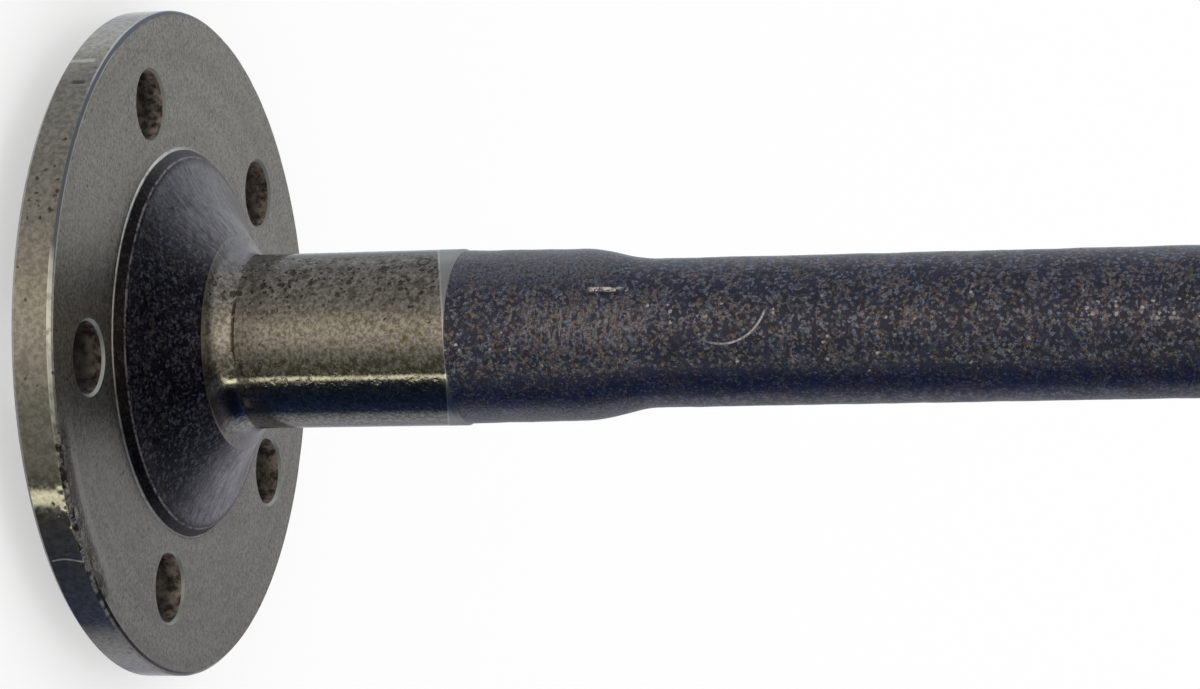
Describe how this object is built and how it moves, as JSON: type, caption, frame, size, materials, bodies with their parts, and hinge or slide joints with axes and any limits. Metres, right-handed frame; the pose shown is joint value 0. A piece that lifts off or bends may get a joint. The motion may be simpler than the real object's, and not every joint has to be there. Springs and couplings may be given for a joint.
{
  "type": "axle shaft",
  "caption": "Forged steel axle shaft with a drilled round wheel flange, a ground bearing journal and a splined, grooved inner end.",
  "frame": {"origin": "on the shaft's axis, in the plane of the outboard face that the wheel seats on, where the pilot's wall starts", "axes": "+Z along the shaft towards its splined inner end, and -Y through the first stud hole"},
  "size_m": [0.1524, 0.1522, 0.746],
  "materials": {
    "forged_steel": "dark forging scale, with a turned flange and a ground journal"
  },
  "bodies": {
    "root": {"axle_shaft": "forged_steel"}
  },
  "joints": []
}
